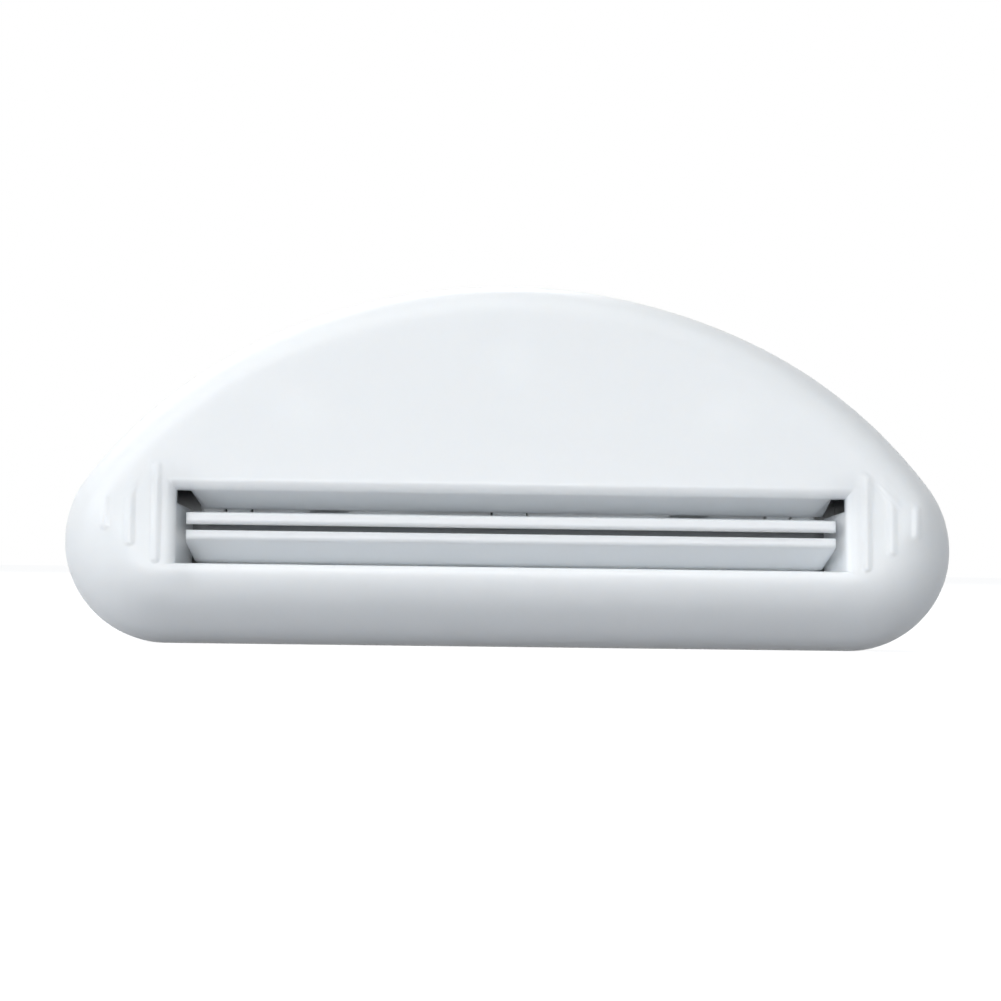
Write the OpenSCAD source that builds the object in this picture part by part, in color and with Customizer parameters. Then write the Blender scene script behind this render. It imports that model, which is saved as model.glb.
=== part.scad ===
// Half-moon toothpaste dispenser: a two-shell casing with a pair of sprung jaws in its front window.
// The tail of a tube goes in at the rear mouth, through the throat and out between the jaws.
// Width is along X, the front faces -Y, and the casing stands on its flat foot at Z = 0.

/* [Casing] */
// Overall width of the half-moon
casing_w = 93; // [88:0.5:112]
// Overall height of the half-moon
casing_h = 37.9; // [34:0.1:46]
// Radius of the round ends
end_r = 10.75; // [9.5:0.05:12.5]
// Radius of the crown, over the middle of the top
crown_r = 61; // [54:0.5:80]
// Half the angle that the crown radius spans, before the tighter flanks
crown_half_angle = 24; // [10:1:30]
// Thickness of the moulded wall
shell_t = 1.8; // [1.4:0.1:2.2]

/* [Front shell] */
// Distance from the seam to the front face, at the height of the slit
front_depth = 8.4; // [8:0.1:11]
// Backward lean of the front face, degrees
front_lean = 7; // [3:0.5:9]
// Width of the rolled edge round the crown
crown_roll = 3; // [2.4:0.1:4.5]
// Height of the rolled edge along the bottom of the front
front_base_roll = 7.95; // [6:0.05:8]
// Half the flat band that the casing stands on
foot_half = 2.4; // [1.5:0.1:4]
// Half the flat band at the seam along the crown
crown_land = 1; // [0.6:0.1:2]

/* [Rear shell] */
// Distance from the seam to the rear face, at the height of the mouth
rear_depth = 8.45; // [7.8:0.05:11]
// Forward lean of the rear face, degrees
rear_lean = 6; // [3:0.5:8]
// Height of the rolled edge along the bottom of the rear
rear_base_roll = 5.5; // [4.5:0.1:5.8]

/* [Front window] */
// Height of the slit above the foot
slit_z = 12.2; // [11.8:0.1:16]
// Width of the window
window_w = 69.2; // [60:0.1:70]
// Height of the window above the slit
window_up = 3.8; // [3.6:0.05:4.6]
// Depth of the window below the slit
window_down = 3.8; // [3.6:0.05:4]
// How far the window walls run back from the face
window_depth = 6.2; // [5:0.1:6.4]
// Thickness of the window walls
window_wall = 1.1; // [0.9:0.05:1.3]
// Height of the roll along the window's upper edge
rim_roll = 1.2; // [0.6:0.05:1.6]
// Width of the roll along the window's ends
end_rim_roll = 1.1; // [0.4:0.05:1.4]
// How far back the rolls of the window's edges run
rim_depth = 0.85; // [0.4:0.05:0.95]
// Height above the slit where the end walls stop, leaving the upper corners open
corner_rise = 2.8; // [2.4:0.1:3.2]

/* [Jaws] */
// Clearance between each end of a lip and the end of the window
jaw_play = 1; // [0.8:0.1:6]
// Gap between the two lips with no tube in them
slit_gap = 0.6; // [0.3:0.05:1]
// Radius of the round lip
lip_r = 0.52; // [0.4:0.02:0.7]
// How far the lips sit behind the front face
lip_set = 0.6; // [0.3:0.05:1.2]
// How much shorter a jaw is at its hinge, each end
jaw_taper = 1.2; // [0.6:0.1:1.6]

/* [Hinges] */
// Radius of the hinge rods
rod_r = 0.6; // [0.5:0.02:0.7]
// Running clearance of the jaws on their rods
rod_fit = 0.05; // [0.02:0.01:0.1]
// Radius of the hinge knuckles
knuckle_r = 1.5; // [1.4:0.05:1.6]
// Distance of the hinges behind the front face
hinge_depth = 8.3; // [8.1:0.05:8.8]
// Distance of each hinge from the middle of the slit
hinge_rise = 3.8; // [3.7:0.05:4.1]
// Width of the lug at the middle of each rod
mid_lug_w = 3.5; // [2.5:0.1:5]
// Width of the lug near each end of a rod
end_lug_w = 2.5; // [2:0.1:4]
// Distance from the middle of an end lug to the end of the jaw's hinge side
end_lug_inset = 3.95; // [3.5:0.05:6]
// Clearance beside and around a lug
lug_gap = 0.25; // [0.15:0.05:0.4]

/* [Springs] */
// Radius of the spring wire
wire_r = 0.16; // [0.1:0.01:0.18]
// Mean radius of the coil
coil_r = 1.08; // [1:0.02:1.15]
// Turns in each coil
coil_turns = 6; // [3:1:8]
// Length of each coil along its rod
coil_len = 3.4; // [2.6:0.1:5]
// Distance of each coil from the middle of the jaw
coil_x = 19; // [10:0.5:21]
// Length of the tail that seats in the jaw
tail_len = 1.5; // [1:0.1:2]
// Length of the leg that bears on the throat
leg_len = 2.8; // [2.4:0.1:3.4]

/* [Rear mouth] */
// How far the middle of the mouth is below the slit
mouth_drop = 0.6; // [0.2:0.1:1.2]
// Width of the mouth
mouth_w = 69; // [60:0.5:74]
// Half the height of the mouth, inside its rolled edge
mouth_half = 4.2; // [3.8:0.1:4.4]
// Roll of the mouth's edge
mouth_roll = 1.2; // [0.6:0.1:1.3]
// Half the height of the throat
throat_half = 0.9; // [0.8:0.05:1]
// Distance of the throat's near edge behind the hinges
throat_gap = 2.1; // [1.9:0.05:2.4]
// Length of the throat before it flares
throat_len = 1.4; // [1:0.1:1.8]

/* [Grip ribs] */
// Distance from the end of the window to the first rib
rib_start = 2.1; // [1.8:0.1:2.6]
// Distance from one rib to the next
rib_pitch = 2.65; // [2:0.05:2.9]
// Length of the longest rib
rib_len = 10.4; // [8:0.1:11]
// How much shorter each further rib is
rib_step = 3.4; // [2.5:0.1:3.8]
// Width of a rib
rib_w = 1.05; // [0.7:0.05:1.3]
// Height of a rib above the face
rib_h = 0.3; // [0.2:0.05:0.5]
// Height of the ribs' middles above the slit
rib_rise = 1.3; // [0.5:0.1:2]

/* [Pegs] */
// Radius of the pegs that hold the shells together
peg_r = 1.2; // [1:0.05:1.4]
// Length of the pegs
peg_len = 3; // [2:0.1:3.4]
// Clearance of a peg in its socket
peg_fit = 0.03; // [0.02:0.01:0.1]
// Radius of the bosses that carry pegs and sockets
boss_r = 2.3; // [2:0.1:2.6]

/* [Smoothness] */
// Steps along the crown
crown_steps = 40; // [24:4:48]
// Steps round each end
end_steps = 14; // [10:1:16]
// Steps along the foot
foot_steps = 16; // [8:2:20]

/* [Hidden] */
$fn = 64;
FRONT = -1;
REAR = 1;
UP = 1;
DOWN = -1;
shell_white = [0.93, 0.94, 0.96];
jaw_white = [0.90, 0.92, 0.94];
steel = [0.72, 0.73, 0.75];

// Outline: crown arc, two flanks that touch it and the ends, and a straight foot.
// Every angle is the outward direction measured from straight up.
function toward(a) = [sin(a), cos(a)];
crown_c = [0, casing_h - crown_r];
crown_end = crown_c + crown_r * toward(crown_half_angle);
end_c = [casing_w / 2 - end_r, end_r];
to_crown_end = crown_end - end_c;
reach = to_crown_end * toward(crown_half_angle) - end_r;
flank_r = (to_crown_end * to_crown_end - end_r * end_r) / (2 * reach);
flank_c = crown_end - flank_r * toward(crown_half_angle);
join_angle = atan2(end_c.x - flank_c.x, end_c.y - flank_c.y);
function outline_at(a) =
    a <= crown_half_angle ? crown_c + crown_r * toward(a)
    : a <= join_angle ? flank_c + flank_r * toward(a)
    : end_c + end_r * toward(a);

// A station is [x, z, outward x, outward z, angle, across, up]: a point of the outline,
// and the place that belongs to it on a window's edge, each way from -1 to 1. A window's upper
// corners belong to points on the flanks, a little above the ends.
function station(side, a, across, up) =
    let (p = outline_at(a), n = toward(a)) [side * p.x, p.y, side * n.x, n.y, a, across, up];
function foot_station(f) = [end_c.x * (2 * f - 1), 0, 0, -1, 180, 2 * f - 1, -1];
corner_turn = 5;
corner_angle = join_angle - corner_turn;
function end_angle(f) = corner_angle + (180 - corner_angle) * f;
stations = [
    for (i = [0:crown_steps - 1])
        let (f = 1 - 2 * i / crown_steps) station(f < 0 ? -1 : 1, abs(f) * corner_angle, f, 1),
    for (i = [0:end_steps - 1]) let (f = i / end_steps) station(-1, end_angle(f), -1, 1 - 2 * f),
    for (i = [0:foot_steps - 1]) foot_station(i / foot_steps),
    for (i = [0:end_steps - 1]) let (f = 1 - i / end_steps) station(1, end_angle(f), 1, 1 - 2 * f)
];

// The jaws take their length from the window, and the mouth its height from the slit.
jaw_w = window_w - 2 * jaw_play;
mouth_z = slit_z - mouth_drop;

// The rolled edge is a quarter ellipse that widens smoothly from the crown to the foot, where it
// stops short of the window or the mouth by a narrow strip of face.
face_strip = 0.15;
foot_rim_roll = 0.3;
roll_step = 10;
roll_from = 46;
roll_to = 112;
function ease(t) = let (c = min(1, max(0, t))) c * c * (3 - 2 * c);
function grown(a, from, to) = from + (to - from) * ease((a - roll_from) / (roll_to - roll_from));
function base_roll(side) =
    side == FRONT
        ? min(front_base_roll, slit_z - (window_down + foot_rim_roll) * cos(front_lean) - face_strip)
        : min(rear_base_roll, mouth_z - (mouth_half + mouth_roll) * cos(rear_lean) - face_strip);
function roll_at(side, a) = grown(a, crown_roll, base_roll(side));
function land_at(a) = grown(a, crown_land, foot_half);

// The leaning faces: depth from the seam at a height, and a frame with its zero on the face,
// running across, straight in through the face, and up along it.
function depth_of(side) = side == FRONT ? front_depth : rear_depth;
function lean_of(side) = side == FRONT ? front_lean : rear_lean;
function zero_z(side) = side == FRONT ? slit_z : mouth_z;
function face_at(side, z) = depth_of(side) - (z - zero_z(side)) * tan(lean_of(side));
function in_face(side, across, inward, up) =
    let (l = lean_of(side))
    [
        across,
        side * (depth_of(side) - inward * cos(l) - up * sin(l)),
        zero_z(side) + up * cos(l) - inward * sin(l)
    ];
function inner_face_at(side, z) = face_at(side, z) - shell_t / cos(lean_of(side));

// One ring of the outer skin: f is 0 at the seam band and 90 where the roll meets the face.
function roll_point(side, s, first, width, depth, f) =
    let (inset = first + (width - first) * (1 - cos(f)), land = land_at(s[4]))
    [s[0] - s[2] * inset, side * (land + (depth - land) * sin(f)), s[1] - s[3] * inset];
function outer_ring(side, f) = [
    for (s = stations)
        let (w = roll_at(side, s[4])) roll_point(side, s, 0, w, face_at(side, s[1] - s[3] * w), f)
];
// The inner skin stays a wall's thickness behind it, and turns sooner along the foot.
function early_turn(side) = side == FRONT ? 0.3 : 0.17;
function inner_roll(side, a) = roll_at(side, a) - grown(a, 0, early_turn(side) * base_roll(side));
function inner_ring(side, f) = [
    for (s = stations)
        let (w = inner_roll(side, s[4]))
        roll_point(side, s, shell_t, w, inner_face_at(side, s[1] - s[3] * w), f)
];
function seam_ring(inset) = [for (s = stations) [s[0] - s[2] * inset, 0, s[1] - s[3] * inset]];
function window_ring(side, half, up, down, inward) = [
    for (s = stations)
        in_face(side, s[5] * half, inward, (up + down) / 2 * s[6] + (up - down) / 2)
];

// Rings joined into one closed skin, the last ring back to the first. The two halves are cut
// into triangles as mirror images.
module closed_skin(rings, flip) {
    n = len(rings[0]);
    m = len(rings);
    tris = [
        for (i = [0:m - 1], j = [0:n - 1])
            let (
                a = i * n + j,
                b = i * n + (j + 1) % n,
                c = ((i + 1) % m) * n + (j + 1) % n,
                d = ((i + 1) % m) * n + j,
                on_right = stations[j].x + stations[(j + 1) % n].x > 0,
                pair = on_right ? [[a, b, d], [b, c, d]] : [[a, b, c], [a, c, d]]
            )
            each flip ? pair : [for (t = pair) [t.z, t.y, t.x]]
    ];
    polyhedron(points = [for (r = rings) each r], faces = tris, convexity = 8);
}

// Window walls of the front shell and funnel walls of the rear shell, from the rim inwards:
// each row is [half width, up, down, inward]. The rolls of the edges have one step between.
roll_mid = 0.3;
wall_root = 1.1;
jaw_end_play = 0.8;
leaf_room = 1.1;
window_half = window_w / 2;
window_back = jaw_w / 2 - jaw_taper + jaw_end_play;
hinge_edge = hinge_rise - knuckle_r + leaf_room;
function rim_row(part, inward) =
    [window_half, window_up, window_down, inward] + part * [end_rim_roll, rim_roll, foot_rim_roll, 0];
function wall_row(half, edge, extra, inward) = [half + extra, edge.x + extra, edge.y + extra, inward];
front_rows = [
    rim_row(1, 0),
    rim_row(roll_mid, roll_mid * rim_depth),
    rim_row(0, rim_depth),
    wall_row(window_back, [hinge_edge, hinge_edge], 0, window_depth),
    wall_row(window_back, [hinge_edge, hinge_edge], window_wall, window_depth),
    wall_row(window_half, [window_up, window_down], wall_root, shell_t)
];
mouth_half_w = mouth_w / 2;
throat_inset = 0.8;
throat_half_w = mouth_half_w - throat_inset;
throat_y = hinge_y(0) + throat_gap;
throat_in = (rear_depth - throat_y) / cos(rear_lean);
rear_rows = [
    wall_row(mouth_half_w, [mouth_half, mouth_half], mouth_roll, 0),
    wall_row(mouth_half_w, [mouth_half, mouth_half], roll_mid * mouth_roll, roll_mid * mouth_roll),
    wall_row(mouth_half_w, [mouth_half, mouth_half], 0, mouth_roll),
    wall_row(throat_half_w, [throat_half, throat_half], 0, throat_in - throat_len),
    wall_row(throat_half_w, [throat_half, throat_half], 0, throat_in),
    wall_row(throat_half_w, [throat_half, throat_half], window_wall, throat_in),
    wall_row(mouth_half_w, [mouth_half, mouth_half], window_wall, shell_t)
];

module shell_skin(side, rows) {
    rings = [
        seam_ring(0),
        for (f = [0:roll_step:90]) outer_ring(side, f),
        for (r = rows) window_ring(side, r[0], r[1], r[2], r[3]),
        for (f = [90:-3 * roll_step:0]) inner_ring(side, f),
        seam_ring(shell_t)
    ];
    closed_skin(rings, side == REAR);
}

// Places of the hinge axes, in the slit's frame and in the casing's.
function hinge_y(way) = in_face(FRONT, 0, hinge_depth, way * hinge_rise).y;
function hinge_z(way) = in_face(FRONT, 0, hinge_depth, way * hinge_rise).z;
module slit_frame() {
    translate([0, -front_depth, slit_z]) rotate([-front_lean, 0, 0]) children();
}
module hinge_frame(way) {
    slit_frame() translate([0, hinge_depth, way * hinge_rise]) mirror([0, 0, way < 0 ? 1 : 0]) children();
}
module along_x(from, to) {
    translate([from, 0, 0]) rotate([90, 0, 90]) linear_extrude(to - from) children();
}
module bar_x(from, to, r) {
    translate([from, 0, 0]) rotate([0, 90, 0]) cylinder(h = to - from, r = r);
}

// Where the lugs and coils interrupt the knuckles of a jaw, as [from, to] on each side.
hinge_half = jaw_w / 2 - jaw_taper;
lug_spans = [
    [-mid_lug_w / 2, mid_lug_w / 2],
    for (s = [-1, 1])
        let (x = s * (hinge_half - end_lug_inset)) [x - end_lug_w / 2, x + end_lug_w / 2]
];
coil_play = 0.6;
coil_room = coil_len + coil_play;

// A grip rib: a bar with round ends, sunk in the face so that only its crest stands out.
rib_r = (rib_w * rib_w / 4 + rib_h * rib_h) / (2 * rib_h);
module rib(x, length) {
    half = length / 2 - rib_w / 2;
    slit_frame() translate([x, rib_r - rib_h, rib_rise]) {
        translate([0, 0, -half]) cylinder(h = 2 * half, r = rib_r);
        for (way = [DOWN, UP]) translate([0, 0, way * half]) sphere(r = rib_r);
    }
}
module grip_ribs() {
    for (s = [-1, 1], k = [0:2]) rib(s * (window_half + rib_start + k * rib_pitch), rib_len - k * rib_step);
}

// Lug that carries a hinge rod: an eye on a web that grows from the back of a window wall.
lug_root = 4.4;
lug_sink = [0.5, 0.3];
lug_height = 1.2;
lug_lean = 20;
module lug(span) {
    wall = hinge_edge - hinge_rise;
    bar_x(span[0], span[1], knuckle_r);
    along_x(span[0], span[1])
        polygon([
            [lug_root - hinge_depth, wall + lug_sink[0] * window_wall],
            [window_depth - hinge_depth, wall + lug_sink[1] * window_wall],
            [0, 0],
            knuckle_r * toward(lug_lean),
            [lug_root - hinge_depth, wall + window_wall + lug_height]
        ]);
}
module front_lugs() {
    for (way = [DOWN, UP]) hinge_frame(way) for (span = lug_spans) lug(span);
}

// Open corners of the window: the upper and lower walls stop short of the ends, and the end
// walls stop below the upper corners. The outer edges are at the front and at the back.
corner_w = 1.43;
relief_front = 1;
relief_back = window_depth + 0.3;
relief_over = 1.8;
relief_past = 0.6;
relief_short = 0.2;
module corner_relief(s, low, high, outer) {
    inner = window_half - corner_w;
    translate([0, 0, low])
        linear_extrude(high - low)
            polygon([
                [s * inner, relief_front],
                [s * (inner - jaw_taper), relief_back],
                [s * outer[1], relief_back],
                [s * outer[0], relief_front]
            ]);
}
module window_reliefs() {
    past_wall = window_half + wall_root + relief_past;
    on_wall = [window_half - relief_short, window_back - 2 * relief_short];
    slit_frame() for (s = [-1, 1]) {
        corner_relief(s, corner_rise, window_up + relief_over, [past_wall, past_wall]);
        corner_relief(s, -window_down - relief_over, -corner_rise, on_wall);
    }
}

// Pegs and sockets that hold the two shells together. Bosses run into the skin behind the face.
// Each seat is [angle of a point of the outline, distance in from it].
peg_seats = [[0, 8.4], [25, 8.6], [87, 6]];
peg_places = [
    for (p = peg_seats, s = p[0] == 0 ? [1] : [-1, 1])
        let (at = outline_at(p[0]) - p[1] * toward(p[0])) [s * at.x, at.y]
];
peg_root = 1;
socket_play = 0.4;
boss_sink = 0.7;
module at_pegs() {
    for (p = peg_places) translate([p.x, 0, p.y]) children();
}
module peg(longer, wider) {
    rotate([90, 0, 0])
        translate([0, 0, -peg_root])
            cylinder(h = peg_root + peg_len + longer, r = peg_r + wider);
}
module boss(side) {
    for (p = peg_places)
        translate([p.x, 0, p.y])
            rotate([side == FRONT ? 90 : -90, 0, 0])
                cylinder(h = inner_face_at(side, p.y + boss_r) + boss_sink, r = boss_r);
}

module front_shell() {
    color(shell_white)
        difference() {
            union() {
                shell_skin(FRONT, front_rows);
                grip_ribs();
                front_lugs();
                boss(FRONT);
            }
            window_reliefs();
            for (way = [DOWN, UP]) hinge_frame(way) bar_x(-window_half, window_half, rod_r);
            at_pegs() peg(socket_play, peg_fit);
        }
}

module rear_shell() {
    color(shell_white)
        union() {
            shell_skin(REAR, rear_rows);
            boss(REAR);
            at_pegs() peg(0, 0);
        }
}

// A jaw, drawn as the upper one in its hinge's frame: leaf, round lip and knuckles.
lip_y = lip_set + lip_r - hinge_depth;
lip_z = slit_gap / 2 + lip_r - hinge_rise;
leaf_in = 0.985 * knuckle_r;
leaf_under = 192;
leaf_over = 246;
module leaf() {
    along_x(-jaw_w / 2, jaw_w / 2)
        polygon([
            [lip_y, lip_z - lip_r],
            leaf_in * toward(leaf_under),
            leaf_in * toward(leaf_over),
            [lip_y, lip_z + lip_r]
        ]);
    translate([0, lip_y, lip_z]) bar_x(-jaw_w / 2, jaw_w / 2, lip_r);
}
cut_over = 1;
module jaw_end_cut() {
    past_end = jaw_w / 2 + cut_over;
    for (s = [-1, 1])
        translate([0, 0, -hinge_rise - cut_over])
            linear_extrude(hinge_rise + knuckle_r + 2 * cut_over)
                polygon([
                    [s * jaw_w / 2, lip_y + lip_r],
                    [s * hinge_half, -knuckle_r],
                    [s * hinge_half, knuckle_r + cut_over],
                    [s * past_end, knuckle_r + cut_over],
                    [s * past_end, lip_y + lip_r]
                ]);
}
module jaw() {
    difference() {
        union() {
            leaf();
            bar_x(-hinge_half, hinge_half, knuckle_r);
        }
        bar_x(-jaw_w, jaw_w, rod_r + rod_fit);
        for (span = lug_spans) bar_x(span[0] - lug_gap, span[1] + lug_gap, knuckle_r + lug_gap);
        for (s = [-1, 1]) {
            bar_x(s * coil_x - coil_room / 2, s * coil_x + coil_room / 2, knuckle_r + lug_gap);
            tail_hole(s);
        }
        jaw_end_cut();
    }
}
tail_angle = 150;
tail_play = 0.2;
tail_fit = 0.04;
tail_start = coil_x - coil_room / 2 - tail_len;
module tail_hole(s) {
    mirror([s < 0 ? 1 : 0, 0, 0])
        rotate([tail_angle, 0, 0])
            translate([0, coil_r, 0])
                bar_x(tail_start - tail_play, tail_start + tail_len + tail_play, wire_r + tail_fit);
}
module upper_jaw() {
    color(jaw_white) hinge_frame(UP) jaw();
}
module lower_jaw() {
    color(jaw_white) hinge_frame(DOWN) jaw();
}

// Steel rods that the jaws turn on, held in the lugs.
rod_inset = 0.3;
rod_half = hinge_half - rod_inset;
module hinge_rod(way) {
    color(steel) hinge_frame(way) bar_x(-rod_half, rod_half, rod_r);
}

// Torsion spring round a rod, one wire: a tail seated in the jaw, a small bend, the coil, and
// a straight leg that bears on the throat's wall. Angles run round the rod.
wire_sides = 6;
turn_steps = 12;
bend_r = 0.3;
leg_angle = -90;
wound = 360 * coil_turns + leg_angle - tail_angle;
function round_rod(x, a) = [x, coil_r * cos(a), coil_r * sin(a)];
coil_in = coil_x - coil_len / 2;
bend_turn = bend_r / coil_r * 180 / PI;
coil_steps = coil_turns * turn_steps;
bend_mid = 0.3;
spring_path = [
    [tail_start, tail_angle],
    [coil_in - bend_r, tail_angle],
    [coil_in - bend_mid * bend_r, tail_angle + bend_mid * bend_turn],
    for (i = [0:coil_steps])
        let (f = i / coil_steps) [coil_in + coil_len * f, tail_angle + bend_turn + (wound - bend_turn) * f]
];
function unit(v) = v / norm(v);

// A leg runs from the end of its coil to where it rests on the sloping outside of the throat:
// first the outside's place at a depth, then the leg in Y and Z, then in its hinge's frame.
seat_gap = 0.03;
function outside_at(way, half, inward) =
    let (p = in_face(REAR, 0, inward, way * (half + window_wall))) [p.y, p.z];
function leg_of(way) =
    let (
        from = outside_at(way, throat_half, throat_in),
        along = unit(outside_at(way, mouth_half, shell_t) - from),
        out = way * [-along.y, along.x],
        coil_end = in_face(FRONT, 0, hinge_depth, way * (hinge_rise - coil_r)),
        start = from + (wire_r + seat_gap) * out - [coil_end.y, coil_end.z],
        b = start * along
    )
    start + along * (sqrt(b * b - start * start + leg_len * leg_len) - b);
function leg_in_hinge(way) =
    let (leg = leg_of(way), l = front_lean)
    [0, leg * [cos(l), -sin(l)], way * (leg * [sin(l), cos(l)])];

module spring(leg) {
    path = concat(
        [for (s = spring_path) round_rod(s.x, s.y)],
        [for (part = [0.5, 1]) round_rod(coil_in + coil_len, leg_angle) + part * leg]
    );
    m = len(path);
    n = wire_sides;
    rings = [
        for (i = [0:m - 1])
            let (
                t = unit(path[min(i + 1, m - 1)] - path[max(i - 1, 0)]),
                b = unit(cross(t, round_rod(0, spring_path[min(i, m - 3)].y))),
                c = cross(b, t)
            )
            [for (k = [0:n - 1]) let (a = 360 * k / n) path[i] + wire_r * (b * cos(a) + c * sin(a))]
    ];
    sides = [
        for (i = [0:m - 2], j = [0:n - 1])
            let (a = i * n + j, b = i * n + (j + 1) % n)
            each [[b, b + n, a + n], [b, a + n, a]]
    ];
    caps = [
        for (j = [1:n - 2]) [0, j + 1, j],
        for (j = [1:n - 2]) [(m - 1) * n, (m - 1) * n + j, (m - 1) * n + j + 1]
    ];
    polyhedron(points = [for (r = rings) each r], faces = concat(sides, caps), convexity = 8);
}
module torsion_spring(way, s) {
    color(steel) hinge_frame(way) mirror([s < 0 ? 1 : 0, 0, 0]) spring(leg_in_hinge(way));
}

front_shell();
rear_shell();
upper_jaw();
lower_jaw();
hinge_rod(UP);  // upper_hinge_rod
hinge_rod(DOWN);  // lower_hinge_rod
torsion_spring(UP, -1);  // upper_left_spring
torsion_spring(UP, 1);  // upper_right_spring
torsion_spring(DOWN, -1);  // lower_left_spring
torsion_spring(DOWN, 1);  // lower_right_spring
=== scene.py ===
import math

import bpy
import numpy as np
from mathutils import Matrix, Vector


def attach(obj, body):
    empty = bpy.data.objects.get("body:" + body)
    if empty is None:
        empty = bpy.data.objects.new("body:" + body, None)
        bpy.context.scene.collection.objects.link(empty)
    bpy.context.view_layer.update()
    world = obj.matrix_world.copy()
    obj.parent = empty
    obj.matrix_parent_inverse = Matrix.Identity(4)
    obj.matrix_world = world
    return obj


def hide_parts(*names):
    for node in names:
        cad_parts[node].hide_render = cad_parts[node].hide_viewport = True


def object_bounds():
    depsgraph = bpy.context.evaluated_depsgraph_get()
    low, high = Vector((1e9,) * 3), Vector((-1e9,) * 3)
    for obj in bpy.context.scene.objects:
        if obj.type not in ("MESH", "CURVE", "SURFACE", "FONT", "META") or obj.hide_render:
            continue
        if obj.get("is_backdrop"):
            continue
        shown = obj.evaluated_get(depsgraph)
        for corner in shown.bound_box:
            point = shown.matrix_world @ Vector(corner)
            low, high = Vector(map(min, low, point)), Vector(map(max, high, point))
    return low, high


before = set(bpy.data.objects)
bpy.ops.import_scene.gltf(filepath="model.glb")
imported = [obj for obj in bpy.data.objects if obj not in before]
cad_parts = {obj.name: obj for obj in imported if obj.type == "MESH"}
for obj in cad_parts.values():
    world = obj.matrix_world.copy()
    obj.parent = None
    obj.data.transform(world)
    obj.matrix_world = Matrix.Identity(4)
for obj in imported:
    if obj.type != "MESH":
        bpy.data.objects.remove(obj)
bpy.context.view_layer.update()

# ---- Camera -------------------------------------------------------------------------------------
# The dispenser is seen from the front, a little below its middle, from a third of a metre away.
# The camera is turned to the right by a few degrees, and tipped up and rolled by about one.
camera_spot = Vector((-0.01576, -0.330, 0.008))
camera_yaw, camera_pitch, camera_roll = (math.radians(a) for a in (2.574, 1.285, 0.758))
ahead = Vector((
    math.sin(camera_yaw) * math.cos(camera_pitch),
    math.cos(camera_yaw) * math.cos(camera_pitch),
    math.sin(camera_pitch),
))
level = Vector((math.cos(camera_yaw), -math.sin(camera_yaw), 0))
upward = level.cross(ahead)
right = level * math.cos(camera_roll) + upward * math.sin(camera_roll)
above = upward * math.cos(camera_roll) - level * math.sin(camera_roll)
lens = bpy.data.cameras.new("camera")
lens.sensor_width = 36
lens.lens = 112.35
lens.clip_start = 0.01
camera = bpy.data.objects.new("camera", lens)
bpy.context.collection.objects.link(camera)
camera.matrix_world = Matrix((
    (right.x, above.x, -ahead.x, camera_spot.x),
    (right.y, above.y, -ahead.y, camera_spot.y),
    (right.z, above.z, -ahead.z, camera_spot.z),
    (0, 0, 0, 1),
))
bpy.context.scene.camera = camera

# ---- Front shell --------------------------------------------------------------------------------
# The front half of the casing: one injection moulding in glossy cool-white plastic, with a leaning
# face, a rolled edge, a window with its own walls, and three grip ribs at each end. It is pressed
# onto the pegs of the rear shell, and its lugs carry the hinge rods.
mm = 0.001
casing_w, casing_h, end_r = 92.9, 37.9, 10.75
crown_r, crown_half_angle = 61.0, math.radians(24)
shell_t = 1.8
front, rear = -1, 1
depth = {front: 8.4, rear: 8.42}
lean = {front: math.radians(7), rear: math.radians(6)}
zero_z = {front: 12.2, rear: 11.6}
base_roll = {front: 7.95, rear: 5.5}
early_turn = {front: 0.3, rear: 0.17}
foot_bevel = {front: 0.55, rear: 0.2}
crown_roll, crown_land, foot_land = 3.0, 1.0, 2.4
crown_spread, crown_fullness = 0.45, 0.7
growth_from, growth_over, bevel_from, bevel_over = 46, 66, 105, 75
corner_lead = math.radians(5)
groove = 0.11


def toward(angle):
    """Outward direction in X and Z at an angle from straight up: its sine and its cosine."""
    return np.stack([np.sin(angle), np.cos(angle)], -1)


def ease(t):
    """Smooth step from 0 to 1: three t squared less two t cubed."""
    t = np.clip(t, 0, 1)
    return t * t * (3 - 2 * t)


crown_c = np.array([0, casing_h - crown_r])
crown_end = crown_c + crown_r * toward(crown_half_angle)
end_c = np.array([casing_w / 2 - end_r, end_r])
to_crown_end = crown_end - end_c
reach = to_crown_end @ toward(crown_half_angle) - end_r
flank_r = (to_crown_end @ to_crown_end - end_r**2) / (2 * reach)
flank_c = crown_end - flank_r * toward(crown_half_angle)
join_angle = math.atan2(end_c[0] - flank_c[0], end_c[1] - flank_c[1])
corner_angle = join_angle - corner_lead


def outline(angle):
    """Half-moon outline: a crown arc, then a tighter flank arc, then a round end, each touching
    the next, so a point is the arc's centre plus its radius times the outward direction."""
    a = angle[:, None]
    d = toward(angle)
    return np.where(
        a <= crown_half_angle, crown_c + crown_r * d,
        np.where(a <= join_angle, flank_c + flank_r * d, end_c + end_r * d),
    )


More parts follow.
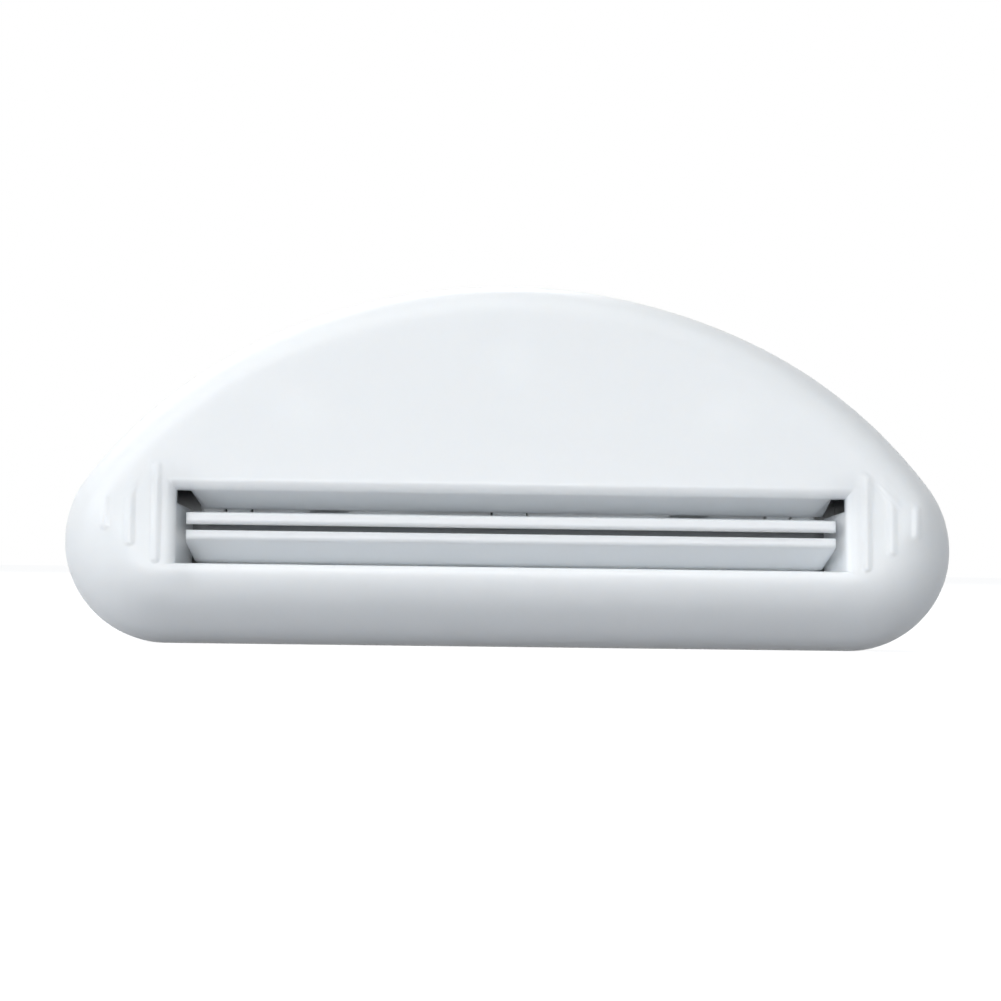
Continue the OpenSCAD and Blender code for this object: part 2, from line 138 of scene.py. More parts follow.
def stations(crown_n=260, end_n=96, foot_n=96):
    """Places round the outline, from the right corner over the crown: point, outward direction,
    angle, and the place from -1 to 1 across and up a window's edge that belongs to each."""
    f = 1 - 2 * np.arange(crown_n) / crown_n
    g = np.arange(end_n) / end_n
    h = np.arange(foot_n) / foot_n
    end = lambda t: corner_angle + (math.pi - corner_angle) * t
    angle = np.concatenate([np.abs(f) * corner_angle, end(g), np.full(foot_n, math.pi), end(1 - g)])
    side = np.concatenate([np.where(f < 0, -1, 1), np.full(end_n, -1), np.ones(foot_n + end_n)])
    across = np.concatenate([f, np.full(end_n, -1), 2 * h - 1, np.ones(end_n)])
    up = np.concatenate([np.ones(crown_n), 1 - 2 * g, np.full(foot_n, -1), 2 * g - 1])
    point = outline(angle) * np.stack([side, np.ones_like(side)], -1)
    out = toward(angle) * np.stack([side, np.ones_like(side)], -1)
    foot = slice(crown_n + end_n, crown_n + end_n + foot_n)
    point[foot] = np.stack([end_c[0] * across[foot], np.zeros(foot_n)], -1)
    out[foot] = [0, -1]
    return point, out, angle, across, up


place, outward, turn, across, up = stations()
growth = ease((np.degrees(turn) - growth_from) / growth_over)
foot_share = ease((np.degrees(turn) - bevel_from) / bevel_over)


def face_y(side, z):
    """Distance of a leaning face from the seam: its depth less the height times the lean."""
    return depth[side] - (z - zero_z[side]) * math.tan(lean[side])


def in_face(side, x, inward, rise):
    """A point given across, in through the face and up along it, turned by the face's lean."""
    l = lean[side]
    x, inward, rise = np.broadcast_arrays(x, inward, rise)
    y = side * (depth[side] - inward * math.cos(l) - rise * math.sin(l))
    return np.stack([x, y, zero_z[side] + rise * math.cos(l) - inward * math.sin(l)], -1)


def roll_ring(side, inset, width, power, share, skin):
    """One ring of a rolled edge, a superellipse from the land at the seam to the face: the inset
    runs from its first value to the full width, and the share of the leaning face's depth is the
    square root of one less the rest of the way to a power, so the roll runs into the face. The
    skin is how far it lies inside the outer surface."""
    land = crown_land + (foot_land - crown_land) * growth
    s = inset + (width - inset) * (1 - np.cos(share))
    rest = np.clip((width - s) / (width - inset), 0, 1)
    at = place - outward * s[:, None]
    full = face_y(side, at[:, 1]) - skin / math.cos(lean[side])
    y = land + (full - land) * np.sqrt(1 - rest**power)
    return np.stack([at[:, 0], side * y, at[:, 1]], -1)


def outer_ring(side, share):
    """The outer roll: wider and softer round the crown, and turning sooner along the foot."""
    width = crown_roll + (base_roll[side] - crown_roll) * growth
    soft = 1 - growth
    power = 2 + crown_fullness * soft - foot_bevel[side] * foot_share
    return roll_ring(side, np.zeros_like(width), width * (1 + crown_spread * soft), power, share, 0)


def inner_ring(side, share):
    """The same roll a wall's thickness further in."""
    width = crown_roll + (base_roll[side] * (1 - early_turn[side]) - crown_roll) * growth
    return roll_ring(side, np.full_like(width, shell_t), width, 2, share, shell_t)


def seam_ring(side, inset, off):
    """The outline moved in by an inset, at a distance off the seam."""
    at = place - outward * inset
    return np.stack([at[:, 0], np.full(len(at), side * off), at[:, 1]], -1)


def window_ring(side, half, high, low, inward, wall=0):
    """A window's outline at a depth: half a width, a rise above and a drop below the middle, all
    moved out by a wall."""
    half, high, low = half + wall, high + wall, low + wall
    return in_face(side, across * half, inward, (high + low) / 2 * up + (high - low) / 2)


def rim_rings(side, opening, rolls, deep):
    """A window's rounded rim: each of the opening's three sizes plus its roll times one less the
    sine, at the depth times one less the cosine."""
    rings = []
    for a in np.linspace(0, math.pi / 2, 11):
        sizes = (size + roll * (1 - math.sin(a)) for size, roll in zip(opening, rolls))
        rings.append(window_ring(side, *sizes, deep * (1 - math.cos(a))))
    return rings


def row_quads(rows, n, closed=False):
    """Quads round each row of n points and the next, and from the last row to the first if the
    rows are closed."""
    i, j = np.meshgrid(np.arange(rows if closed else rows - 1), np.arange(n), indexing="ij")
    i2, j2 = (i + 1) % rows, (j + 1) % n
    return np.stack([i * n + j, i * n + j2, i2 * n + j2, i2 * n + j], -1).reshape(-1, 4)


def ladder_caps(rows, n):
    """Closes the first and the last row by ladders of quads between the points that face each
    other."""
    k = np.arange(n // 2 - 1)
    cap = np.stack([k, n - 1 - k, n - 2 - k, k + 1], -1)
    return np.concatenate([cap, (cap + (rows - 1) * n)[:, ::-1]])


def closed_skin(rings, first_inner):
    """Rings joined into one closed skin, the last to the first. The rings from first_inner to the
    one before the last get the second material, the darker grey of painted shade."""
    m, n = len(rings), len(rings[0])
    ring = np.repeat(np.arange(m), n)
    second = (ring >= first_inner) & (ring < m - 1)
    return np.concatenate(rings), row_quads(m, n, closed=True), second.astype(np.int32)


def outwards(points, faces):
    """Turns the faces if six times the enclosed volume, summed over their fans, is negative."""
    p = points - points.mean(0)
    total = 0.0
    for k in range(1, faces.shape[1] - 1):
        a, b, c = p[faces[:, 0]], p[faces[:, k]], p[faces[:, k + 1]]
        total += np.einsum("ij,ij->", a, np.cross(b, c))
    return faces if total > 0 else faces[:, ::-1]


def new_piece(name, points, faces, materials, slots=None, sharp=32):
    """A mesh object from points in millimetres and faces of one size, smooth but for edges that
    turn by more than the sharp angle."""
    faces = outwards(points, faces)
    size = faces.shape[1]
    mesh = bpy.data.meshes.new(name)
    mesh.vertices.add(len(points))
    mesh.vertices.foreach_set("co", (points * mm).astype(np.float32).ravel())
    mesh.loops.add(faces.size)
    mesh.loops.foreach_set("vertex_index", faces.astype(np.int32).ravel())
    mesh.polygons.add(len(faces))
    mesh.polygons.foreach_set("loop_start", (np.arange(len(faces)) * size).astype(np.int32))
    mesh.update(calc_edges=True)
    for material in materials:
        mesh.materials.append(material)
    if slots is not None:
        mesh.polygons.foreach_set("material_index", slots)
    mesh.polygons.foreach_set("use_smooth", np.ones(len(faces), dtype=bool))
    mesh.set_sharp_from_angle(angle=math.radians(sharp))
    mesh.validate()
    piece = bpy.data.objects.new(name, mesh)
    bpy.context.collection.objects.link(piece)
    return piece


def circle(n=48):
    """Points of a unit circle, from the first axis towards the second."""
    t = np.linspace(0, 2 * math.pi, n, endpoint=False)
    return np.stack([np.cos(t), np.sin(t)], -1)


def prism(outlines, offsets):
    """Outlines of equal length at successive offsets along X, joined by quads and closed at both
    ends, facing outwards."""
    m, n = len(outlines), len(outlines[0])
    points = np.concatenate([
        np.concatenate([np.broadcast_to(x, n)[:, None], o], -1) for o, x in zip(outlines, offsets)
    ])
    return points, outwards(points, np.concatenate([row_quads(m, n), ladder_caps(m, n)]))


def changed(piece, operation, parts, materials):
    """The piece with closed parts added or taken away by an exact boolean, written back as plain
    mesh. The parts are point and face arrays, joined into one tool."""
    starts = np.cumsum([0] + [len(points) for points, _ in parts[:-1]])
    points = np.concatenate([points for points, _ in parts])
    faces = np.concatenate([faces + start for (_, faces), start in zip(parts, starts)])
    tool = new_piece("tool", points, faces, materials)
    change = piece.modifiers.new(operation, "BOOLEAN")
    change.operation, change.solver, change.object = operation, "EXACT", tool
    held = piece.evaluated_get(bpy.context.evaluated_depsgraph_get())
    mesh = bpy.data.meshes.new_from_object(held)
    piece.modifiers.clear()
    piece.data = mesh
    bpy.data.objects.remove(tool, do_unlink=True)
    return piece


def moulded_tone():
    """Node group: a soft drift of colour over about a centimetre, fine roughness grain and a
    slow ripple of the surface, from three noises of the position given to it."""
    group = bpy.data.node_groups.new("moulded_tone", "ShaderNodeTree")
    socket = group.interface.new_socket
    socket("Position", in_out="INPUT", socket_type="NodeSocketVector")
    socket("Colour", in_out="INPUT", socket_type="NodeSocketColor")
    socket("Drift colour", in_out="INPUT", socket_type="NodeSocketColor")
    socket("Smoothest", in_out="INPUT", socket_type="NodeSocketFloat")
    socket("Roughest", in_out="INPUT", socket_type="NodeSocketFloat")
    socket("Colour", in_out="OUTPUT", socket_type="NodeSocketColor")
    socket("Roughness", in_out="OUTPUT", socket_type="NodeSocketFloat")
    socket("Ripple", in_out="OUTPUT", socket_type="NodeSocketFloat")
    nodes, links = group.nodes, group.links
    given, given_out = nodes.new("NodeGroupInput"), nodes.new("NodeGroupOutput")
    noises = []
    for scale, detail in ((90, 2), (2600, 3), (150, 1)):
        noise = nodes.new("ShaderNodeTexNoise")
        noise.inputs["Scale"].default_value = scale
        noise.inputs["Detail"].default_value = detail
        links.new(given.outputs["Position"], noise.inputs["Vector"])
        noises.append(noise)
    drift = nodes.new("ShaderNodeMix")
    drift.data_type = "RGBA"
    links.new(noises[0].outputs["Fac"], drift.inputs["Factor"])
    links.new(given.outputs["Colour"], drift.inputs["A"])
    links.new(given.outputs["Drift colour"], drift.inputs["B"])
    links.new(drift.outputs["Result"], given_out.inputs["Colour"])
    grain = nodes.new("ShaderNodeMapRange")
    grain.inputs["From Min"].default_value, grain.inputs["From Max"].default_value = 0.3, 0.7
    links.new(noises[1].outputs["Fac"], grain.inputs["Value"])
    links.new(given.outputs["Smoothest"], grain.inputs["To Min"])
    links.new(given.outputs["Roughest"], grain.inputs["To Max"])
    links.new(grain.outputs["Result"], given_out.inputs["Roughness"])
    links.new(noises[2].outputs["Fac"], given_out.inputs["Ripple"])
    return group


tone = moulded_tone()


def plastic(name, colour, drift_colour, smoothest, roughest, ior, ripple, cloudy=0):
    """Moulded plastic: the tone group sets colour, roughness and a ripple of a few microns. The
    cloudy share of the light spreads some millimetres under the surface."""
    material = bpy.data.materials.new(name)
    material.use_nodes = True
    nodes, links = material.node_tree.nodes, material.node_tree.links
    shader = nodes["Principled BSDF"]
    place_node = nodes.new("ShaderNodeTexCoord")
    toned = nodes.new("ShaderNodeGroup")
    toned.node_tree = tone
    toned.inputs["Colour"].default_value = (*colour, 1)
    toned.inputs["Drift colour"].default_value = (*drift_colour, 1)
    toned.inputs["Smoothest"].default_value = smoothest
    toned.inputs["Roughest"].default_value = roughest
    bump = nodes.new("ShaderNodeBump")
    bump.inputs["Strength"].default_value = 1
    bump.inputs["Distance"].default_value = ripple
    links.new(place_node.outputs["Object"], toned.inputs["Position"])
    links.new(toned.outputs["Colour"], shader.inputs["Base Color"])
    links.new(toned.outputs["Roughness"], shader.inputs["Roughness"])
    links.new(toned.outputs["Ripple"], bump.inputs["Height"])
    links.new(bump.outputs["Normal"], shader.inputs["Normal"])
    shader.inputs["IOR"].default_value = ior
    shader.inputs["Subsurface Weight"].default_value = cloudy
    shader.inputs["Subsurface Radius"].default_value = (1, 0.95, 0.9)
    shader.inputs["Subsurface Scale"].default_value = 0.003
    return material


casing_gloss = plastic(
    "casing_gloss", (0.90, 0.94, 0.972), (0.91, 0.947, 0.977), 0.32, 0.38, 1.45, 0.000006, 0.9)
# Darker grey copy of the casing's white plastic: painted shade on the inner faces, cut faces,
# bosses and pegs, where the plastic lies in shadow.
casing_inside_painted_shade = plastic(
    "casing_inside_painted_shade", (0.55, 0.565, 0.58), (0.60, 0.61, 0.62), 0.5, 0.6, 1.4, 0.000004)

window_half, window_up, window_down = 34.6, 3.8, 3.8
window_depth, window_wall, wall_root = 6.4, 1.1, 1.1
rim_side, rim_top, rim_foot, rim_depth = 1.1, 1.2, 0.3, 0.85
jaw_play, jaw_slant, back_play = 1.0, 1.2, 0.8
jaw_half = window_half - jaw_play
hinge_half = jaw_half - jaw_slant
window_back = hinge_half + back_play
upper, lower = 1, -1
hinge_rise, hinge_depth, knuckle_r, rod_r = 3.8, 8.3, 1.5, 0.6
hinge_edge = {upper: hinge_rise - knuckle_r + 0.38, lower: hinge_rise - knuckle_r + 1.2}
quarter = np.linspace(0, math.pi / 2, 25)
rib_start, rib_pitch, rib_len, rib_step, rib_rise = 2.1, 2.65, 10.4, 3.4, 1.3
rib_count, rib_reach, rib_height, rib_end = 3, 0.68, 0.2, 0.5


def with_ribs(ring):
    """Raises a ring of the front's outer skin by the grip ribs: a raised cosine of the distance
    from each rib's middle line, over the rib's reach."""
    x, rise = np.abs(ring[:, 0]), (ring[:, 2] - zero_z[front]) / math.cos(lean[front]) - rib_rise
    for k in range(rib_count):
        middle = window_half + rib_start + k * rib_pitch
        half = (rib_len - k * rib_step) / 2 - rib_end
        away = np.hypot(x - middle, rise - np.clip(rise, -half, half)) / rib_reach
        ring[:, 1] -= rib_height * (0.5 + 0.5 * np.cos(math.pi * np.clip(away, 0, 1)))
    return ring


rings = [seam_ring(front, groove, 0), seam_ring(front, 0, groove)]
rings += [with_ribs(outer_ring(front, a)) for a in np.linspace(0, math.pi / 2, 49)]
face_edge = outer_ring(front, math.pi / 2)
opening = (window_half, window_up, window_down)
window_rim = rim_rings(front, opening, (rim_side, rim_top, rim_foot), rim_depth)
strip = window_rim[0] - face_edge
rings += [with_ribs(face_edge + strip * t) for t in np.linspace(0, 1, 46)[1:-1]]
rings += window_rim
wall_end = (window_back, hinge_edge[upper], hinge_edge[lower], window_depth)
rings += [window_ring(front, *wall_end), window_ring(front, *wall_end, window_wall)]
# The rings from here on take the painted shade of the inner material.
inner_start = len(rings) - 1
rings += [window_ring(front, *opening, shell_t, wall_root)]
rings += [inner_ring(front, a) for a in quarter[::-3]]
rings += [seam_ring(front, shell_t, 0)]
points, quads, second = closed_skin(rings, inner_start)
casing_front = new_piece("casing_front", points, quads, [casing_gloss, casing_inside_painted_shade], second)


def hinge_places(way, outline_yz):
    """Points in a hinge's frame, Y back and Z away from the slit, brought to the casing's."""
    l = lean[front]
    y = outline_yz[..., 0] + hinge_depth
    z = way * (outline_yz[..., 1] + hinge_rise)
    return np.stack([-depth[front] + y * math.cos(l) + z * math.sin(l),
                     zero_z[front] - y * math.sin(l) + z * math.cos(l)], -1)


web_front, web_rise = 4.4, 1.2
middle_lug_half, end_lug_half, end_lug_inset = 1.75, 1.25, 3.95


def lug(way, low, high):
    """A hinge lug: a web from the back of the window's wall whose free side is an eye's arc."""
    eye = knuckle_r * toward(np.radians(np.linspace(268, 20, 29)))
    wall = hinge_edge[way] - hinge_rise
    web = np.array([
        [web_front - hinge_depth, wall + window_wall + web_rise],
        [web_front - hinge_depth, wall + 0.5 * window_wall],
        [window_depth - hinge_depth, wall + 0.3 * window_wall],
    ])
    shape = hinge_places(way, np.concatenate([web, eye]))
    return prism([shape, shape], [low, high])


lug_x = hinge_half - end_lug_inset
lug_spans = [(-middle_lug_half, middle_lug_half)]
lug_spans += [(s * lug_x - end_lug_half, s * lug_x + end_lug_half) for s in (-1, 1)]
extra = [lug(way, *span) for way in (lower, upper) for span in lug_spans]


def bar(middle, radius, from_y, to_y):
    """A round bar along Y between two depths."""
    ring = middle + radius * circle()
    points, faces = prism([ring, ring], [from_y, to_y])
    points = points[:, [1, 0, 2]]
    return points, outwards(points, faces)


peg_spots = []
for peg_turn, peg_inset in ((0, 8.4), (math.radians(25), 8.6), (math.radians(87), 6)):
    spot = outline(np.array([peg_turn]))[0] - peg_inset * toward(peg_turn)
    peg_spots += [spot] if peg_turn == 0 else [spot, spot * (-1, 1)]
boss_r, boss_lap = 2.3, 0.7
peg_r, peg_len, peg_root, socket_r, socket_len = 1.2, 3, 1, 1.23, 3.4


def boss(side, spot):
    """A peg's boss, from the seam into the inner side of the leaning face."""
    inner = face_y(side, spot[1] + boss_r) - shell_t / math.cos(lean[side])
    return bar(spot, boss_r, 0, side * (inner + boss_lap))


extra += [boss(front, spot) for spot in peg_spots]
changed(casing_front, "UNION", extra, [casing_gloss, casing_inside_painted_shade])
relief_inset, relief_front, relief_past, relief_over = 1.43, 1, 0.3, 1.8


def corner_relief(s, low, high, outer_front, outer_back, taper):
    """A cut through a window's corner: a four-sided hole seen from above, between two rises."""
    inner, back = window_half - relief_inset, window_depth + relief_past
    across_cut = s * np.array([inner, inner - taper, outer_back, outer_front])
    inward = np.array([relief_front, back, back, relief_front])
    rises = np.repeat([low, high], 4)
    points = in_face(front, np.tile(across_cut, 2), np.tile(inward, 2), rises)
    faces = np.array([
        [0, 1, 2, 3], [7, 6, 5, 4], [0, 4, 5, 1], [1, 5, 6, 2], [2, 6, 7, 3], [3, 7, 4, 0],
    ])
    return points, outwards(points, faces)


def rod_bore(way):
    """A bore along X about a hinge's line, as wide as the rod."""
    ring = hinge_places(way, rod_r * circle())
    return prism([ring, ring], [-window_half, window_half])


past_wall = window_half + wall_root + 0.6
over, under = window_up + relief_over, -window_down - relief_over
cuts = [
    corner_relief(-1, 2.45, over, past_wall, past_wall, 1.1),
    corner_relief(1, 2.5, over, past_wall, past_wall, 0.1),
    corner_relief(-1, under, -2.6, window_half - 0.2, window_back - 0.2, 1.2),
]
cuts += [rod_bore(way) for way in (lower, upper)]
cuts += [bar(spot, socket_r, peg_root, -socket_len) for spot in peg_spots]
# The cut faces take the darker inner grey: painted shade in the corner holes, bores and sockets.
changed(casing_front, "DIFFERENCE", cuts, [casing_inside_painted_shade])
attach(casing_front, "casing")
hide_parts("front_shell")

# ---- Rear shell ---------------------------------------------------------------------------------
# The back half of the casing, moulded in the same plastic. Its mouth takes the tube's flat tail,
# and a funnel behind the mouth narrows to the throat between the jaws. Its pegs hold the front on.
mouth_half, mouth_roll, mouth_half_w = 4.2, 1.2, 34.5
throat_half, throat_half_w, throat_len, throat_edge, throat_behind = 0.9, 33.7, 1.4, 0.25, 2.1
mouth = (mouth_half_w, mouth_half, mouth_half)
throat = (throat_half_w, throat_half, throat_half)
throat_y = -depth[front] + hinge_depth * math.cos(lean[front]) + throat_behind
throat_in = (depth[rear] - throat_y) / math.cos(lean[rear])
rings = [seam_ring(rear, groove, 0), seam_ring(rear, 0, groove)]
rings += [outer_ring(rear, a) for a in quarter]
rings += rim_rings(rear, mouth, (mouth_roll, mouth_roll, mouth_roll), mouth_roll)
# From the throat inwards the faces take the darker inner grey: painted shade seen through the slit.
inner_start = len(rings)
rings += [
    window_ring(rear, *throat, throat_in - throat_len),
    window_ring(rear, *throat, throat_in - throat_edge),
    window_ring(rear, *throat, throat_in, throat_edge),
    window_ring(rear, *throat, throat_in, window_wall),
    window_ring(rear, *mouth, shell_t, window_wall),
]
rings += [inner_ring(rear, a) for a in quarter[::-3]]
rings += [seam_ring(rear, shell_t, 0)]
points, quads, second = closed_skin(rings, inner_start)
casing_rear = new_piece("casing_rear", points, quads, [casing_gloss, casing_inside_painted_shade], second)
# The bosses and pegs take the darker inner grey too: painted shade.
changed(casing_rear, "UNION", [boss(rear, spot) for spot in peg_spots], [casing_inside_painted_shade])
pegs = [bar(spot, peg_r, peg_root, -peg_len) for spot in peg_spots]
changed(casing_rear, "UNION", pegs, [casing_inside_painted_shade])
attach(casing_rear, "casing")
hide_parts("rear_shell")

# ---- Jaws ---------------------------------------------------------------------------------------
# Two leaves moulded in the same white plastic, each with a square bead for a lip and hinge
# knuckles along its back edge. They snap onto the rods, and the lips face each other at the slit.
# A little lighter than the casing's same plastic: painted light that brightens the jaws in the
# window's shade.
jaw_gloss_painted_light = plastic(
    "jaw_gloss_painted_light", (0.93, 0.957, 0.98), (0.94, 0.962, 0.982), 0.34, 0.38, 1.45, 0.000003, 0.9)
lip_front, slit_half = 0.6, 0.3
lip_r = {upper: 0.62, lower: 0.52}
knuckle_start, knuckle_end = 172, {upper: -156, lower: -114}
over_bend, bend_turn = {upper: (-4.3, -1.76), lower: (-3.3, -0.77)}, math.radians(-15)
coil_x, coil_room, coil_room_r = 19.0, 4.0, 1.45
bore_r, lug_room = 0.65, 0.25


def jaw_outline(way, inset, n=20):
    """A jaw's section in its hinge's frame, moved in by an inset: from the front of the lip, whose
    Y and Z cubed add up to its radius cubed, along a straight underside, round the knuckle's arc
    and back along the upper side, which bends once."""
    r = lip_r[way]
    round_lip = toward(np.radians(np.linspace(0, -180, 2 * n)))
    square = (np.abs(round_lip) ** 3).sum(-1, keepdims=True) ** (-1 / 3)
    lip_middle = np.array([lip_front + r - hinge_depth, slit_half + r - hinge_rise])
    lip = lip_middle + (r - inset) * round_lip * square
    arc = np.radians(np.linspace(knuckle_start, knuckle_end[way], 2 * n))
    knuckle = (knuckle_r - inset) * toward(arc)
    bend = np.array(over_bend[way]) - inset * toward(bend_turn)
    t = np.linspace(0, 1, n + 2)[1:-1, None]
    under = lip[-1] + (knuckle[0] - lip[-1]) * t
    t = np.linspace(0, 1, n // 2 + 1)[1:, None]
    to_bend = knuckle[-1] + (bend - knuckle[-1]) * t
    to_lip = bend + (lip[0] - bend) * 0.95 * t
    return np.concatenate([lip[n:], under, knuckle, to_bend, to_lip, lip[:n]])


def jaw_reach(way, outline_yz):
    """How far a jaw reaches along X at each point of its section: less towards the hinge."""
    lip_back = lip_front + 2 * lip_r[way] - hinge_depth
    return np.interp(outline_yz[:, 0], [lip_back, -knuckle_r], [jaw_half, hinge_half])


def comb(way):
    """The bore with wide rooms for lugs and coils, turned about the hinge: radii along X, each
    step given twice."""
    rooms = [(a - lug_room, b + lug_room, knuckle_r + lug_room) for a, b in lug_spans]
    half = coil_room / 2
    rooms += [(s * coil_x - half, s * coil_x + half, coil_room_r) for s in (-1, 1)]
    x, r = [-jaw_half - 1], [bore_r]
    for a, b, wide in sorted(rooms):
        x += [a, a, b, b]
        r += [bore_r, wide, wide, bore_r]
    return prism([hinge_places(way, q * circle()) for q in r + [bore_r]], x + [jaw_half + 1])


edge = 0.22
for name, node, way in (("lip_upper", "upper_jaw", upper), ("lip_lower", "lower_jaw", lower)):
    sections, reaches = [], []
    for a in np.linspace(0, math.pi / 2, 6):
        section = jaw_outline(way, edge * (1 - math.sin(a)))
        sections.append(hinge_places(way, section))
        reaches.append(jaw_reach(way, section) - edge * (1 - math.cos(math.pi / 2 - a)))
    points, faces = prism(sections + sections[::-1], [-r for r in reaches] + reaches[::-1])
    jaw = new_piece(name, points, faces, [jaw_gloss_painted_light])
    changed(jaw, "DIFFERENCE", [comb(way)], [jaw_gloss_painted_light])
    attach(jaw, node)
    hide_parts(node)

# ---- Hinge rods ---------------------------------------------------------------------------------
# Two ground steel rods, 1.2 mm thick, with chamfered ends. They are pressed through the front
# shell's lugs, and the jaws' knuckles turn on them.


def steel(name, colour, drift_colour, smoothest, roughest, stretch):
    """Bright steel: the tone group, with its pattern stretched along X as drawing leaves it."""
    material = plastic(name, colour, drift_colour, smoothest, roughest, 1.5, 0.000001)
    nodes, links = material.node_tree.nodes, material.node_tree.links
    drawn = nodes.new("ShaderNodeMapping")
    drawn.inputs["Scale"].default_value = (stretch, 1, 1)
    toned = next(n for n in nodes if n.type == "GROUP")
    place_node = next(n for n in nodes if n.type == "TEX_COORD")
    links.new(place_node.outputs["Object"], drawn.inputs["Vector"])
    links.new(drawn.outputs["Vector"], toned.inputs["Position"])
    nodes["Principled BSDF"].inputs["Metallic"].default_value = 1
    return material


rod_steel = steel("rod_steel", (0.62, 0.63, 0.65), (0.52, 0.53, 0.56), 0.18, 0.32, 0.05)
rod_half, chamfer, rod_land = hinge_half - 0.3, 0.15, 0.05
x = np.array([-rod_half, -rod_half, chamfer - rod_half, rod_half - chamfer, rod_half, rod_half])
r = rod_r - np.array([chamfer + rod_land, chamfer, 0, 0, chamfer, chamfer + rod_land])
rods = (("rod_upper", "upper_hinge_rod", upper), ("rod_lower", "lower_hinge_rod", lower))
for name, node, way in rods:
    points, faces = prism([hinge_places(way, q * circle()) for q in r], x)
    rod = new_piece(name, points, faces, [rod_steel])
    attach(rod, "casing")
    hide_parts(node)

# ---- Springs ------------------------------------------------------------------------------------
# Four torsion springs of hard drawn wire, wound round the rods. A tail seats in the jaw, and a
# straight leg rests on the outside of the throat and pushes the jaw shut.
wire_r, coil_r, coil_len, coil_turns = 0.16, 1.08, 3.4, 6
tail_len, bend_r, leg_len, seat_gap = 1.5, 0.3, 2.8, 0.03
tail_angle, leg_angle = math.radians(150), math.radians(-90)
end_taper = 0.55
spring_wire = steel("spring_wire", (0.50, 0.51, 0.54), (0.42, 0.43, 0.46), 0.22, 0.36, 0.4)


def spring_line(leg):
    """The wire's middle line in a hinge's frame: a straight tail, a short bend, a helix whose
    angle and place along X grow together, and a straight leg."""
    coil_in = coil_x - coil_len / 2
    tail_bend = bend_r / coil_r
    wound = 2 * math.pi * coil_turns + leg_angle - tail_angle
    f = np.linspace(0, 1, coil_turns * 28)
    g = np.linspace(0, 1, 6)[:-1]
    x = np.concatenate([np.linspace(coil_x - coil_room / 2 - tail_len, coil_in - bend_r, 5)[:-1],
                        coil_in - bend_r * (1 - g) ** 1.5, coil_in + coil_len * f])
    a = np.concatenate([np.full(4, tail_angle), tail_angle + tail_bend * g**1.5,
                        tail_angle + tail_bend + (wound - tail_bend) * f])
    line = np.stack([x, coil_r * np.cos(a), coil_r * np.sin(a)], -1)
    return np.concatenate([line, line[-1] + np.linspace(0, 1, 9)[1:, None] * leg])


def leg_of(way):
    """From the coil's end to the outside of the throat's slope, in the hinge's frame: the point
    of the slope, offset by the wire, that lies the leg's length away."""
    l = lean[rear]

    def outside(half, inward):
        rise = way * (half + window_wall)
        return np.array([depth[rear] - inward * math.cos(l) - rise * math.sin(l),
                         zero_z[rear] + rise * math.cos(l) - inward * math.sin(l)])

    root = outside(throat_half, throat_in)
    along = outside(mouth_half, shell_t) - root
    along /= np.linalg.norm(along)
    out = way * np.array([-along[1], along[0]])
    coil_end = hinge_places(way, np.array([0, -coil_r]))
    start = root + (wire_r + seat_gap) * out - coil_end
    b = start @ along
    leg = start + along * (math.sqrt(b * b - start @ start + leg_len**2) - b)
    m = lean[front]
    return np.array([0, leg[0] * math.cos(m) - leg[1] * math.sin(m),
                     way * (leg[0] * math.sin(m) + leg[1] * math.cos(m))])


def tube(line, radius, n=14):
    """A tube round a line: at each point, a circle on two directions square to the way of the
    line there, the first kept square to the hinge's radius. The circle at each end is smaller."""
    way = np.gradient(line, axis=0)
    way /= np.linalg.norm(way, axis=1, keepdims=True)
    spoke = np.stack([np.zeros(len(line)), line[:, 1], line[:, 2]], -1)
    spoke[-8:] = spoke[-9]
    b = np.cross(way, spoke)
    b /= np.linalg.norm(b, axis=1, keepdims=True)
    c = np.cross(b, way)
    r = np.full(len(line), radius)
    r[[0, -1]] *= end_taper
    ring = circle(n)
    rings = line[:, None] + r[:, None, None] * (b[:, None] * ring[:, :1] + c[:, None] * ring[:, 1:])
    m = len(line)
    return rings.reshape(-1, 3), np.concatenate([row_quads(m, n), ladder_caps(m, n)])


for way, height in ((upper, "upper"), (lower, "lower")):
    line = spring_line(leg_of(way))
    points, faces = tube(line, wire_r)
    for s, hand in ((-1, "left"), (1, "right")):
        placed = np.concatenate([points[:, :1] * s, hinge_places(way, points[:, 1:])], -1)
        spring = new_piece(f"spring_{height}_{hand}", placed, faces, [spring_wire])
        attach(spring, "casing")
        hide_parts(f"{height}_{hand}_spring")

# ---- Studio -------------------------------------------------------------------------------------
# A matt floor that is seen as white under a white surround. A wide soft lamp in front gives most
# of the light, with weaker ones high on the left, above, on the left and behind.
floor_mesh = bpy.data.meshes.new("floor")
floor_mesh.from_pydata([(-30, -30, 0), (30, -30, 0), (30, 30, 0), (-30, 30, 0)], [], [(0, 1, 2, 3)])
floor = bpy.data.objects.new("floor", floor_mesh)
bpy.context.collection.objects.link(floor)
floor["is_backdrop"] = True


def seen_directly(nodes, links):
    """Socket that is 1 for camera, glossy and transmission rays: the largest of the three."""
    paths, two, three = (
        nodes.new(kind) for kind in ("ShaderNodeLightPath", "ShaderNodeMath", "ShaderNodeMath"))
    two.operation = three.operation = "MAXIMUM"
    links.new(paths.outputs["Is Camera Ray"], two.inputs[0])
    links.new(paths.outputs["Is Glossy Ray"], two.inputs[1])
    links.new(two.outputs[0], three.inputs[0])
    links.new(paths.outputs["Is Transmission Ray"], three.inputs[1])
    return three.outputs[0]


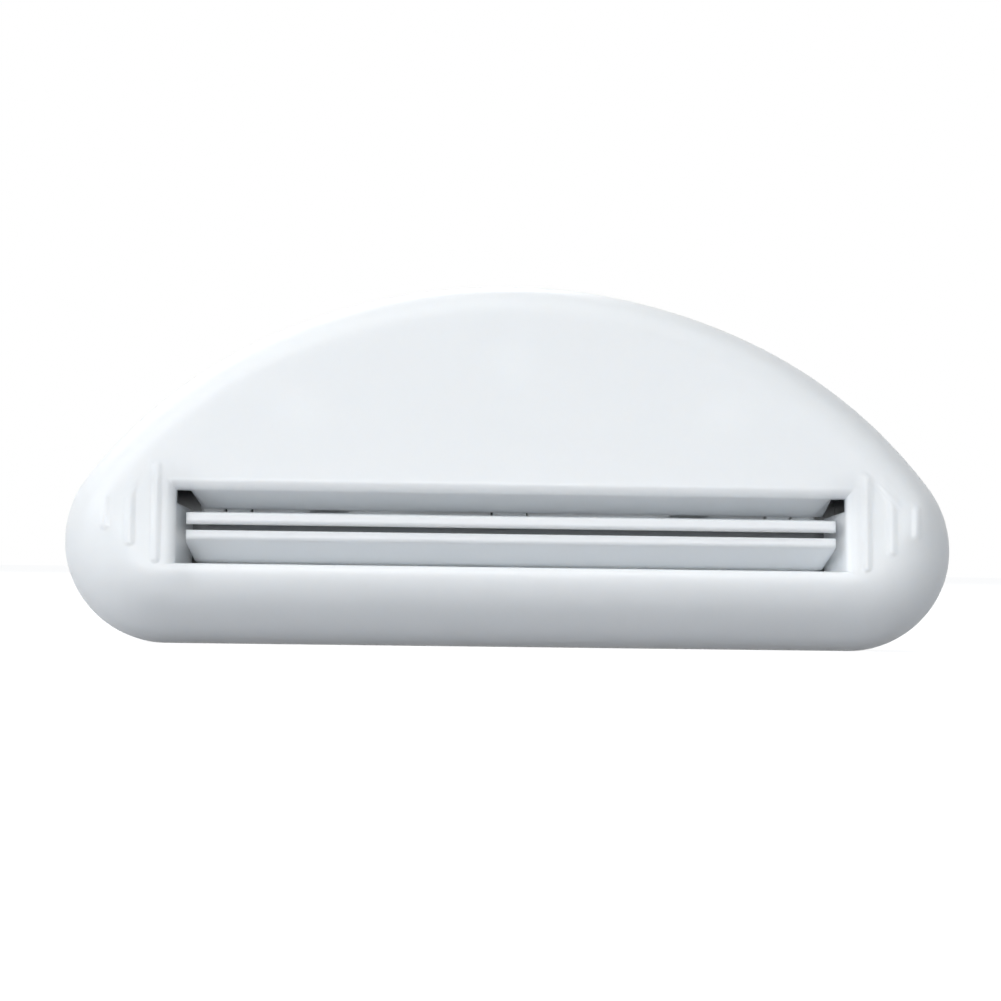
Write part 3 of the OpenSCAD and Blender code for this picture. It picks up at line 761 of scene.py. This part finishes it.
paper = bpy.data.materials.new("studio_paper")
paper.use_nodes = True
nodes, links = paper.node_tree.nodes, paper.node_tree.links
matt = nodes["Principled BSDF"]
matt.inputs["Base Color"].default_value = (0.27, 0.28, 0.30, 1)
matt.inputs["Roughness"].default_value = 1
matt.inputs["Specular IOR Level"].default_value = 0
glow, both, weight = (
    nodes.new(kind) for kind in ("ShaderNodeEmission", "ShaderNodeAddShader", "ShaderNodeMath"))
weight.operation = "MULTIPLY"
weight.inputs[1].default_value = 0.91
links.new(seen_directly(nodes, links), weight.inputs[0])
links.new(weight.outputs[0], glow.inputs["Strength"])
links.new(matt.outputs[0], both.inputs[0])
links.new(glow.outputs[0], both.inputs[1])
links.new(both.outputs[0], nodes["Material Output"].inputs["Surface"])
floor_mesh.materials.append(paper)

world = bpy.data.worlds.new("surround")
bpy.context.scene.world = world
world.use_nodes = True
nodes, links = world.node_tree.nodes, world.node_tree.links
cool = nodes["Background"]
cool.inputs["Color"].default_value = (0.86, 0.94, 1.0, 1)
cool.inputs["Strength"].default_value = 0.22
white, choose = nodes.new("ShaderNodeBackground"), nodes.new("ShaderNodeMixShader")
white.inputs["Color"].default_value = (1, 1, 1, 1)
white.inputs["Strength"].default_value = 1
links.new(seen_directly(nodes, links), choose.inputs[0])
links.new(cool.outputs[0], choose.inputs[1])
links.new(white.outputs[0], choose.inputs[2])
links.new(choose.outputs[0], nodes["World Output"].inputs["Surface"])

casing_middle = Vector((0, 0, 0.016))
for name, way, distance, wide, high, power, tint in (
    ("key", (-0.5, -0.5, 0.6), 1.8, 1.4, 1.4, 10.5, (1, 0.985, 0.97)),
    ("front", (-0.02, -1, 0.07), 2.4, 1.1, 0.6, 29, (0.98, 0.99, 1)),
    ("top", (0.15, -0.35, 1), 2.0, 1.4, 1.4, 7, (0.96, 0.98, 1)),
    ("left", (-1, -0.4, 0.1), 2.0, 1.4, 1.4, 20, (0.93, 0.965, 1)),
    ("back", (-0.35, 1, 1), 2.4, 2.0, 1.4, 20, (0.96, 0.98, 1)),
):
    lamp = bpy.data.lights.new(name, "AREA")
    lamp.shape, lamp.size, lamp.size_y = "RECTANGLE", wide, high
    lamp.energy, lamp.color = power, tint
    shining = bpy.data.objects.new(name, lamp)
    bpy.context.collection.objects.link(shining)
    direction = Vector(way).normalized()
    shining.location = casing_middle + direction * distance
    shining.rotation_euler = direction.to_track_quat("Z", "Y").to_euler()

bpy.context.scene.view_settings.view_transform = "Standard"

low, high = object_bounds()
